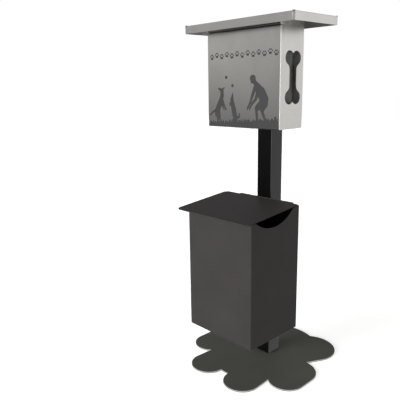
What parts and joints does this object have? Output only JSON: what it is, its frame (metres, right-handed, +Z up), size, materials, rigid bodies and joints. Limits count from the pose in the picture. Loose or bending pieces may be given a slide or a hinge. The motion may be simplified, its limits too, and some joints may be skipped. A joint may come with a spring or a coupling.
{
  "type": "dog waste bin",
  "caption": "Dog waste bin on a square post: bag dispenser with a side opening under a roof tray, bin with a hinged lid, and a paw-shaped base plate.",
  "frame": {"origin": "on the floor, under the base plate, on the axis of the post", "axes": "+Z up along the post, -Y to the front where the dispenser's door is, +X to the side with the bone opening and the waste scoop"},
  "size_m": [0.476, 0.4884, 1.1516],
  "materials": {
    "stainless": "fine brushed, satin",
    "bin_paint": "matt powder coat, dark grey brown",
    "post_paint": "matt powder coat, near black",
    "base_paint": "matt powder coat, dark grey",
    "zinc": "zinc plated",
    "black_plastic": "fine texture",
    "rubber": "matt",
    "bag_film": "thin film, rolled",
    "cardboard": "wound cardboard tube"
  },
  "bodies": {
    "stand": {"base_plate": "base_paint", "base_screw_1": "zinc", "base_screw_2": "zinc", "base_screw_3": "zinc", "base_screw_4": "zinc", "bin_body": "bin_paint", "bin_bolt_lower": "zinc", "bin_bolt_lower_inner_washer": "zinc", "bin_bolt_lower_nut": "zinc", "bin_bolt_lower_outer_washer": "zinc", "bin_bolt_upper": "zinc", "bin_bolt_upper_inner_washer": "zinc", "bin_bolt_upper_nut": "zinc", "bin_bolt_upper_outer_washer": "zinc", "bucket": "black_plastic", "dispenser_body": "stainless", "dispenser_bolt_lower": "zinc", "dispenser_bolt_lower_inner_washer": "zinc", "dispenser_bolt_lower_nut": "zinc", "dispenser_bolt_lower_outer_washer": "zinc", "dispenser_bolt_upper": "zinc", "dispenser_bolt_upper_inner_washer": "zinc", "dispenser_bolt_upper_nut": "zinc", "dispenser_bolt_upper_outer_washer": "zinc", "door_hinge_fixed_leaf": "stainless", "door_hinge_pin": "zinc", "lid_hinge_fixed_leaf": "bin_paint", "lid_hinge_pin": "zinc", "lock_housing": "zinc", "lock_nut": "zinc", "post": "post_paint", "post_cap": "black_plastic", "post_end_plate": "zinc", "roll_spindle": "zinc", "roof": "stainless", "roof_rivet_1": "zinc", "roof_rivet_2": "zinc", "roof_rivet_3": "zinc", "roof_rivet_4": "zinc", "spindle_knob": "black_plastic"},
    "lid": {"lid": "bin_paint", "lid_bumper_left": "rubber", "lid_bumper_right": "rubber", "lid_hinge_moving_leaf": "bin_paint"},
    "door": {"front_panel": "stainless", "door_catch": "zinc", "door_hinge_moving_leaf": "stainless"},
    "lock": {"lock_plug": "zinc", "lock_cam": "zinc", "lock_cam_screw": "zinc"},
    "roll": {"roll_core": "cardboard", "bag_roll": "bag_film"}
  },
  "joints": [
    {"name": "lid_hinge", "type": "hinge", "parent": "stand", "child": "lid", "pos_m": [0, -0.0336, 0.58144], "axis": [-1, 0, 0], "range_deg": [0, 84]},
    {"name": "door_hinge", "type": "hinge", "parent": "stand", "child": "door", "pos_m": [-0.1533, -0.128, 0.974], "axis": [0, 0, -1], "range_deg": [0, 160]},
    {"name": "lock_turn", "type": "hinge", "parent": "stand", "child": "lock", "pos_m": [0.025, -0.112, 0.84], "axis": [0, 0, -1], "range_deg": [0, 90]},
    {"name": "roll_spin", "type": "hinge", "parent": "stand", "child": "roll", "pos_m": [0.1, -0.078, 0.95], "axis": [0, 0, 1], "continuous": true}
  ]
}
